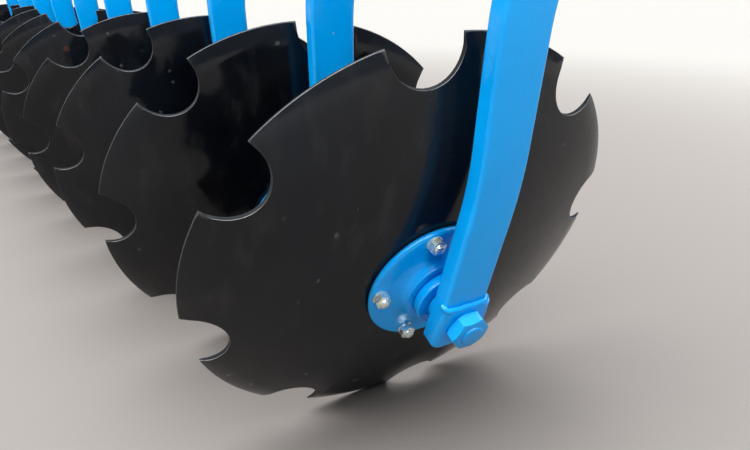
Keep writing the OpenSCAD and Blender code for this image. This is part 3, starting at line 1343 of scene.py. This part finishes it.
@dataclass
class Arm:
    """Bent flat bar between the block that holds the axle and the clamp under the beam."""

    width: float = 54.0
    thick: float = 23.0
    edge_r: float = 5.0
    eye_w: float = 64.0
    eye_top: float = 27.0
    eye_drop: float = 36.0
    eye_corner: float = 8.0
    eye_round: float = 8.0
    back_round: float = 1.5
    # How far the block's top and corners draw in, as shares of the round's depth
    top_in: float = 0.3
    corner_in: float = 0.5
    # Heights of the block's sides where they draw in, as shares of the top's
    left_low: float = -0.2
    right_low: float = 0.3
    draw_in: float = 2.0
    flush: float = 3.6
    eye_back: float = 86.0
    eye_front: float = 110.0
    bar_mid: float = 98.0
    kink: float = 10.5
    shift: float = -5.5
    foot_lean: float = 8.5
    foot_len: float = 124.0
    knee_r: float = 400.0
    knee_steps: int = 9
    stem_lean: float = 2.5
    stem_len: float = 100.0
    neck_r: float = 250.0
    neck_lean: float = 45.0
    neck_steps: int = 38
    run_in: float = 18.0
    run_down: float = 0.5
    # Weld bead round the bar's foot: how it sits, how it climbs, and how uneven it is
    bead_r: float = 3.2
    bead_out: float = 1.6
    bead_gap: float = 0.2
    bead_set: float = 0.4
    bead_past: float = 1.0
    bead_climb: float = 2.6
    climb_power: int = 5
    wave: float = 0.35
    wave_beat: float = 1.1
    swell: float = 0.06
    swell_beat: float = 2.3
    bead_steps: int = 5
    bead_straights: tuple[int, ...] = (15, 8, 1, 1)
    # Shares of the bar's thickness between which the bead sinks away on its left side
    bead_end: Pair = (0.9, 0.1)

    def stations(self) -> list[tuple[Vector, float]]:
        """Draw the bar's middle line.

        Returns:
            Its points with the lean at each, from the axle upwards.
        """
        foot = Vector((self.shift, 0))
        knee = foot + along(self.foot_lean) * self.foot_len - across(self.foot_lean) * self.knee_r
        stem = knee + across(-self.stem_lean) * self.knee_r
        top = stem + along(-self.stem_lean) * self.stem_len
        neck = top + across(-self.stem_lean) * self.neck_r
        points = [(foot, self.foot_lean)]
        for i in range(self.knee_steps + 1):
            lean = self.foot_lean - (self.foot_lean + self.stem_lean) * i / self.knee_steps
            points.append((knee + across(lean) * self.knee_r, lean))
        for i in range(self.neck_steps + 1):
            lean = (self.neck_lean + self.stem_lean) * i / self.neck_steps - self.stem_lean
            points.append((neck - across(lean) * self.neck_r, lean))
        end = points[-1][0] + along(self.neck_lean) * self.run_in
        return points + [(end, self.neck_lean)]

    def bar(self) -> BMesh:
        """Draw the bar's rounded section along its middle line and cut its foot level.

        Returns:
            The closed mesh, in the axle's frame.
        """
        section = rounded(self.width / 2, self.thick / 2, self.edge_r, 6)
        stand = shifted(z=self.bar_mid) @ turned(-self.kink, Axis.X)
        sections = []
        for point, lean in self.stations():
            stop = stand @ shifted(*point) @ turned(-lean)
            sections.append([stop @ Vector((x, 0, z)) for x, z in section])
        bm = lofted(sections)
        trim(bm, Vector((0, self.eye_top - self.run_down, 0)), Vector((0, 1, 0)))
        return bm

    def block(self) -> BMesh:
        """Draw the block, with a wide round at the front and a small one at the back.

        Returns:
            The closed mesh, in the axle's frame.
        """
        back_r, front_r = self.back_round, self.eye_round
        steps = arc(back_r, self.eye_back + back_r, back_r, 270, 180, 3)
        steps += arc(front_r, self.eye_front - front_r, front_r, 180, 90, 7)
        sections = []
        for inset, z in steps:
            half = self.eye_w / 2 - inset
            top = self.eye_top - self.top_in * inset
            low = inset - self.eye_drop
            r = max(self.eye_corner - self.corner_in * inset, back_r)
            outline = [(0, top), (self.flush - half, top), (-half, self.left_low * top)]
            outline += arc(r - half, low + r, r, 180, 270, 6)
            outline += arc(half - r, low + r, r, 270, 360, 6)
            outline += [(half, self.right_low * top), (half - self.draw_in, top)]
            sections.append([(x, y, z) for x, y in outline])
        return lofted(sections)

    def bead(self) -> BMesh:
        """Lay the weld round the bar's foot, climbing a little towards the bar's edges.

        Returns:
            The closed bead, in the axle's frame.
        """
        gap, side = self.bead_gap, self.thick / 2 - self.edge_r
        outline = rounded(
            self.width / 2 + gap, self.thick / 2 + gap, self.edge_r + gap,
            self.bead_steps, self.bead_straights,
        )
        kink = math.radians(self.kink)
        middle = self.shift + self.eye_top * math.tan(math.radians(self.foot_lean))
        starts, ends = self.bead_end
        path = []
        for i, (x, z) in enumerate(outline):
            climb = self.bead_climb * abs(x / self.width * 2) ** self.climb_power
            y = self.eye_top - self.bead_set + climb + self.wave * math.sin(self.wave_beat * i)
            depth = self.bar_mid + z / math.cos(kink) - y * math.tan(kink)
            if z > TOUCH:
                depth += self.bead_out
            sink = 0.0
            if x < 0:
                sink = self.bead_r * min(1.0, max(0.0, (starts - z / side) / (starts - ends)))
            depth = max(depth, self.eye_back - self.bead_past)
            centre = Vector((middle + x + sink, y - sink, depth))
            path.append((centre, self.bead_r * (1 + self.swell * math.sin(self.swell_beat * i))))
        return laid_bead(path)


@dataclass
class Clamp:
    """Half of the square clamp, bent from plate, in the clamp's frame with the flange on Y = 0."""

    inner: float = 62.4
    plate: float = 8.0
    bend: float = 8.0
    flange: float = 45.0
    length: float = 110.0
    bolt_gap: float = 64.0
    edge_r: float = 1.2
    # Middle of the bend into the flange: inward from the bend's end, and share of its drop
    bend_in: float = 0.6
    bend_share: float = 0.494
    low_in: float = field(init=False)
    low_out: float = field(init=False)
    tip: float = field(init=False)
    bolt_at: float = field(init=False)

    def __post_init__(self) -> None:
        """Work out the corners of the section."""
        self.low_in = self.inner * math.sqrt(2)
        self.low_out = (self.inner + self.plate) * math.sqrt(2)
        self.tip = self.low_in + self.flange
        self.bolt_at = (self.low_out + self.tip) / 2

    def half(self) -> BMesh:
        """Extrude the lower half and round its bends and edges.

        Returns:
            The closed mesh.
        """
        mouth = self.low_in - self.bend * (math.sqrt(2) - 1)
        drop = self.bend / math.sqrt(2)
        outer = self.low_out - self.plate
        right = [
            (0, -self.low_out),
            (outer, -self.plate),
            (self.tip, -self.plate),
            (self.tip, 0),
            (mouth, 0),
            (mouth - self.bend_in, -self.bend_share * drop),
            (self.low_in - drop, -drop),
            (0, -self.low_in),
        ]
        left = [(-x, y) for x, y in right[1:-1]]
        bm = extruded(right + left[::-1], self.length)
        bends = {
            (0, -self.low_out): self.bend + self.plate,
            (0, -self.low_in): self.bend,
            (outer, -self.plate): self.bend,
            (-outer, -self.plate): self.bend,
        }
        for at, r in bends.items():
            lines = [e for e in bm.edges if all(math.dist(v.co.xy, at) < TOUCH for v in e.verts)]
            soften(bm, lines, r, 6)
        soften(bm, corners(bm), self.edge_r)
        return bm


@dataclass
class Beam:
    """Square tube with its end plates, and the plates that bolt it under a machine's frame."""

    width: float = 80.0
    wall: float = 6.0
    corner: float = 10.0
    over: float = 60.0
    end_plate: float = 6.0
    plate_round: float = 1.0
    seat_x: float = 110.0
    seat_y: float = 190.0
    seat: float = 12.0
    seat_corner: float = 5.0
    seat_round: float = 0.9
    hole: float = 18.0
    hole_x: float = 70.0
    hole_y: float = 146.0
    # Lines in a quarter of a hole's edge
    hole_steps: int = 8
    rib: float = 8.0
    rib_h: float = 50.0
    rib_w: float = 54.0

    def square(self, length: float) -> BMesh:
        """Extrude the beam's outer outline to a length."""
        return extruded(rounded(self.width / 2, self.width / 2, self.corner, 6), length)

    def tube(self, length: float) -> BMesh:
        """Extrude the tube and open its inside.

        Args:
            length: Its length.

        Returns:
            The closed mesh.
        """
        bm = self.square(length)
        for cap in [f for f in bm.faces if abs(f.normal.z) > LEVEL]:
            bmesh.ops.inset_region(bm, faces=[cap], thickness=self.wall, use_even_offset=True)
        inner = [f for f in bm.faces if abs(f.normal.z) > LEVEL and len(f.verts) > 4]
        inner.sort(key=lambda f: f.calc_center_median().z)
        open_between(bm, inner[0], inner[-1])
        return bm

    def cover(self) -> BMesh:
        """Extrude an end plate.

        Returns:
            The closed mesh.
        """
        bm = self.square(self.end_plate)
        soften(bm, corners(bm), self.plate_round)
        return bm

    def seat_plate(self) -> BMesh:
        """Make a seat plate with its four bolt holes, its top on Z = 0.

        Returns:
            The closed mesh.
        """
        x, y = self.seat_x / 2, self.seat_y / 2
        bm = extruded([(-x, -y), (x, -y), (x, y), (-x, y)], self.seat)
        bmesh.ops.translate(bm, verts=bm.verts, vec=(0, 0, -self.seat / 2))
        soften(bm, uprights(corners(bm), self.seat / 2), self.seat_corner, 3)
        for left in (-1, 1):
            for near in (-1, 1):
                self.drill(bm, Vector((left * self.hole_x, near * self.hole_y)) / 2)
        soften(bm, corners(bm), self.seat_round)
        return bm

    def drill(self, bm: BMesh, centre: Vector) -> None:
        """Cut one bolt hole through the seat plate.

        Args:
            bm: The plate.
            centre: The hole's place on the plate.
        """
        r = self.hole / 2
        for square_to in (Vector((1, 0, 0)), Vector((0, 1, 0))):
            for side in (-1, 1):
                at = centre.to_3d() + square_to * side * 2 * r
                bmesh.ops.bisect_plane(bm, geom=everything(bm), plane_co=at, plane_no=square_to)
        faces = [
            f for f in bm.faces
            if abs(f.normal.z) > LEVEL and (f.calc_center_median().xy - centre).length < r / 2
        ]
        for face in faces:
            bmesh.ops.inset_region(bm, faces=[face], thickness=r / 2, use_even_offset=True)
            bmesh.ops.subdivide_edges(bm, edges=list(face.edges), cuts=self.hole_steps - 1)
            for v in face.verts:
                v.co.xy = centre + (v.co.xy - centre).normalized() * r
        open_between(bm, *faces)

    def gusset(self) -> BMesh:
        """Extrude the rib between a seat plate and the beam's side.

        Returns:
            The closed mesh.
        """
        start, end = self.width / 2, self.width / 2 + self.rib_w
        bm = extruded([(start, 0), (end, 0), (end, -self.rib), (start, -self.rib_h)], self.rib)
        soften(bm, corners(bm), self.plate_round)
        return bm


@dataclass
class Row:
    """The whole row, built piece by piece."""

    blue: Material
    black: Material
    zinc: Material
    rubber: Material
    blade: Blade = field(default_factory=Blade)
    hub: Hub = field(default_factory=Hub)
    axle: Axle = field(default_factory=Axle)
    arm: Arm = field(default_factory=Arm)
    clamp: Clamp = field(default_factory=Clamp)
    beam: Beam = field(default_factory=Beam)
    blade_sharp: float = 25.0
    disc_bolts: int = 5
    disc_bolt_r: float = 73.5
    rubber_r: float = 21.5
    rubber_mid: float = 60.0
    rubber_round: float = 1.5
    rubber_steps: int = 40
    # Degrees by which the nuts turn from one to the next, in the row and in their pattern
    disc_nuts: tuple[int, ...] = (37, 23)
    axle_nuts: tuple[int, ...] = (37, 17)
    clamp_nuts: tuple[int, ...] = (29, 17, 41)

    def disc_place(self, k: int) -> Matrix:
        """Give the frame of a disc: Z along the axle, X level and Y up.

        Args:
            k: Its count in the row.

        Returns:
            The place, with the step to metres.
        """
        joint = next(j for j in frame["joints"] if j["name"] == f"disc_spin_{k}")
        z = Vector(joint["axis"]).normalized()
        x = Vector((0, 0, 1)).cross(z).normalized()
        turn = Matrix((x, z.cross(x), z)).transposed().to_4x4()
        return Matrix.Translation(joint["pos_m"]) @ turn @ TO_METRES

    def clamp_place(self, k: float) -> Matrix:
        """Give the frame of a clamp: X forwards, Y up and Z along the beam.

        Args:
            k: Its count in the row.

        Returns:
            The place, with the step to metres.
        """
        turn = Matrix(((0, 1, 0), (0, 0, 1), (1, 0, 0))).transposed().to_4x4()
        return shifted(x=(MIDDLE - k) * PITCH * MM, z=BEAM_Z * MM) @ turn @ TO_METRES

    def disc_unit(self, k: int) -> list[Piece]:
        """Build a disc, its hub and its bolts, which turn together.

        Args:
            k: Its count in the row.

        Returns:
            The pieces.
        """
        body = f"disc_unit_{k}"
        place = self.disc_place(k) @ turned(TURNS[k - 1])
        blade = Piece(
            f"blade_{k}", body, Slot.BLACK, self.black, (f"disc_{k}",), self.blade_sharp
        )
        blade.add(self.blade.mesh(), place)
        hub = Piece(f"hub_casting_{k}", body, Slot.BLUE, self.blue, (f"hub_{k}",))
        hub.add(self.hub.mesh(), place)
        bolts = Piece(f"hub_bolts_{k}", body, Slot.BLUE, self.zinc)
        low, high = self.blade.dish - self.blade.thickness, self.hub.flange_face
        for i in range(self.disc_bolts):
            spot = turned(360 * i / self.disc_bolts) @ shifted(x=self.disc_bolt_r)
            M12.place(bolts, low, high, place @ spot, nut_turn(self.disc_nuts, k, i))
        return [piece.finished() for piece in (blade, hub, bolts)]

    def arm_unit(self, k: int) -> list[Piece]:
        """Build an arm with the lower half of its clamp, and its stub axle.

        Args:
            k: Its count in the row.

        Returns:
            The pieces.
        """
        place = self.disc_place(k)
        clamp = self.clamp_place(k)
        axle = Piece(f"stub_axle_{k}", FRAME_BODY, Slot.BLUE, self.blue, (f"axle_{k}",))
        axle.add(self.axle.mesh(), place)
        spot = shifted(z=self.axle.eye_front) @ turned(nut_turn(self.axle_nuts, 1, k - 1))
        axle.add(Hexagon(self.axle.nut_af, self.axle.nut).mesh(), place @ spot)

        arm = Piece(f"arm_forging_{k}", FRAME_BODY, Slot.BLUE, self.blue, (f"arm_{k}",))
        bar = self.arm.bar()
        bar.transform(place)
        outward = Vector((0, -1, -1)).normalized()
        wall = (self.clamp.inner + self.clamp.plate / 2) * MM
        trim(bar, clamp.to_translation() + outward * wall, outward)
        arm.add(bar, Matrix.Identity(4))
        arm.add(self.arm.block(), place)
        arm.add(self.arm.bead(), place)
        arm.add(self.clamp.half(), clamp)
        return [piece.finished() for piece in (axle, arm)]

    def clamps(self) -> list[Piece]:
        """Build the upper clamp halves, the rubber rods and the clamps' bolts.

        Returns:
            The pieces.
        """
        tops = Piece("clamp_tops", FRAME_BODY, Slot.BLUE, self.blue, ("clamp_caps",))
        rods = Piece("rubber_cushions", FRAME_BODY, Slot.RUBBER, self.rubber, ("rubber_rods",))
        bolts = Piece("clamp_bolts", FRAME_BODY, Slot.BLUE, self.zinc)
        plate, down = self.clamp.plate, turned(90, Axis.X)
        for k in range(1, DISCS + 1):
            place = self.clamp_place(k)
            tops.add(self.clamp.half(), place @ turned(180))
            for quarter in range(4):
                rods.add(self.rod(), place @ turned(90 * quarter))
            for i, x in enumerate((-self.clamp.bolt_at, self.clamp.bolt_at)):
                for j, z in enumerate((-self.clamp.bolt_gap / 2, self.clamp.bolt_gap / 2)):
                    spot = place @ shifted(x=x, z=z) @ down
                    M16.place(bolts, -plate, plate, spot, nut_turn(self.clamp_nuts, k, i, j))
        return [piece.finished() for piece in (tops, rods, bolts)]

    def rod(self) -> BMesh:
        """Extrude a rubber rod, squeezed between the beam's face and the clamp's corner.

        Returns:
            The closed mesh.
        """
        reach = self.clamp.inner * math.sqrt(2)
        circle = arc(self.rubber_mid, 0, self.rubber_r, 0, 360, self.rubber_steps)
        outline = []
        for x, y in circle[:-1]:
            over = x + abs(y) - reach
            if over > 0:
                x, y = x - over / 2, y - math.copysign(over / 2, y)
            outline.append((max(x, self.beam.width / 2), y))
        bm = extruded(outline, self.clamp.length)
        soften(bm, corners(bm, 60), self.rubber_round)
        return bm

    def carrier(self) -> list[Piece]:
        """Build the beam, its end plates and its seat plates.

        Returns:
            The pieces.
        """
        beam = self.beam
        middle = self.clamp_place(MIDDLE)
        length = (DISCS - 1) * PITCH + self.clamp.length + 2 * beam.over
        tube = Piece("beam_tube", FRAME_BODY, Slot.BLUE, self.blue, ("beam",))
        tube.add(beam.tube(length), middle)
        ends = Piece("beam_end_covers", FRAME_BODY, Slot.BLUE, self.blue, ("end_plates",))
        for side in (-1, 1):
            ends.add(beam.cover(), middle @ shifted(z=side * (length + beam.end_plate) / 2))
        seats = Piece("frame_seats", FRAME_BODY, Slot.BLUE, self.blue, ("frame_plates",))
        for step in (-1, 0, 1):
            at = shifted(x=step * SEAT_GAP * MM) @ TO_METRES
            seats.add(beam.seat_plate(), at)
            for side in (0, 180):
                under = shifted(z=-beam.seat) @ turned(side) @ turned(90) @ turned(90, Axis.X)
                seats.add(beam.gusset(), at @ under)
        return [piece.finished() for piece in (tube, ends, seats)]

    def build(self) -> list[Piece]:
        """Build every piece in order.

        Returns:
            The pieces.
        """
        pieces = []
        for k in range(1, DISCS + 1):
            pieces += self.disc_unit(k) + self.arm_unit(k)
        return pieces + self.clamps() + self.carrier()


# Studio, in metres


@dataclass(frozen=True)
class Lamp:
    """Square area lamp that shines from a place to an aim, with its spread in degrees."""

    name: str
    place: Triple
    aim: Triple
    size: float
    watts: float
    spread: float
    mirrored: bool = True
    colour: Triple = (1.0, 0.99, 0.97)


LAMPS = (
    Lamp("left", (-0.8, -3.6, 3.6), (0.7, 0, 0.1), 3.0, 37, 60),
    Lamp("front", (6.0, -1.5, 1.0), (0, 0, 0.55), 1.0, 11.5, 22, mirrored=False),
)


@dataclass
class Studio:
    """Floor, lamps and the camera at the photograph's angle."""

    floor_r: float = 150.0
    floor_steps: int = 96
    horizon: Colour = (0.03, 0.03, 0.03, 1)
    mirrored: Colour = (0.29, 0.345, 0.43, 1)
    zenith: Colour = (8.9, 9.3, 9.6, 1)
    # Height on the sky's unit sphere at which the zenith's light starts and is full
    open_sky: Pair = (0.7, 1.0)
    # The same, as gloss shows it
    mirrored_sky: Pair = (0.52, 0.88)
    backdrop: Colour = (0.97, 0.945, 0.9, 1)
    lens: float = 24.0
    sensor: float = 36.0
    nearest: float = 0.01
    # Step from the nearest disc's middle to the camera
    eye: Triple = (0.3758, -0.4035, 0.2968)
    pitch: float = 65.4
    yaw: float = 48.2

    def camera(self, disc: Vector) -> None:
        """Stand the camera where the photograph was taken from.

        Args:
            disc: Middle of the nearest disc's rim.
        """
        data = bpy.data.cameras.new("camera")
        data.lens = self.lens
        data.sensor_width = self.sensor
        data.clip_start = self.nearest
        data.clip_end = 2 * self.floor_r
        thing = into_scene("camera", data)
        thing.location = disc + Vector(self.eye)
        thing.rotation_euler = (math.radians(self.pitch), 0, math.radians(self.yaw))
        bpy.context.scene.camera = thing

    def floor(self, level: float, finish: Material) -> None:
        """Lay the floor under the lowest tooth.

        Args:
            level: Height of the floor.
            finish: Its material.
        """
        bm = bmesh.new()
        bmesh.ops.create_circle(
            bm, cap_ends=True, segments=self.floor_steps, radius=self.floor_r
        )
        bmesh.ops.translate(bm, verts=bm.verts, vec=(0, 0, level))
        mesh = finished_mesh("floor", bm)
        mesh.materials.append(finish)
        into_scene("floor", mesh)

    def lamp(self, lamp: Lamp) -> None:
        """Hang one soft lamp.

        Args:
            lamp: The lamp.
        """
        data = bpy.data.lights.new(lamp.name, "AREA")
        data.shape = "SQUARE"
        data.size = lamp.size
        data.energy = lamp.watts
        data.color = lamp.colour
        data.spread = math.radians(lamp.spread)
        thing = into_scene(lamp.name, data)
        thing.visible_glossy = lamp.mirrored
        thing.location = lamp.place
        way = Vector(lamp.aim) - Vector(lamp.place)
        thing.rotation_euler = way.to_track_quat("-Z", "Y").to_euler()

    def light(self) -> None:
        """Light the row like a bright overcast day, with most of the light from above."""
        world = bpy.data.worlds.new("sky")
        world.use_nodes = True
        graph = Graph(world.node_tree)
        up = graph.height(graph.coordinates("Generated"))
        ray = world.node_tree.nodes.new("ShaderNodeLightPath").outputs
        gloss = ray["Is Glossy Ray"]
        low = graph.blend(gloss, self.horizon, self.mirrored)
        starts, full = (
            graph.fade(gloss, 0.0, 1.0, plain, shown)
            for plain, shown in zip(self.open_sky, self.mirrored_sky)
        )
        sky = graph.blend(graph.fade(up, starts, full), low, self.zenith)
        seen = graph.blend(ray["Is Camera Ray"], sky, self.backdrop)
        graph.feed(world.node_tree.nodes["Background"].inputs["Color"], seen)
        bpy.context.scene.world = world
        for lamp in LAMPS:
            self.lamp(lamp)


def main() -> None:
    """Build the row and the studio, and report each piece."""
    logging.basicConfig(level=logging.INFO, format="%(name)s %(message)s")
    for effect in (Patches, Specks, Relief):
        effect.make()
    finishes = [finish().material() for finish in (BluePaint, BlackPaint, Zinc, Rubber)]
    row = Row(*finishes)
    for piece in row.build():
        LOG.info("%s: %d faces, %d open edges", piece.name, piece.faces, piece.gaps)
    studio = Studio()
    studio.camera(row.disc_place(1).to_translation())
    studio.floor(CAD_BOX[0].z, PaleFloor().material())
    studio.light()
    bpy.context.scene.view_settings.view_transform = "Standard"


if __name__ == "__main__":
    main()
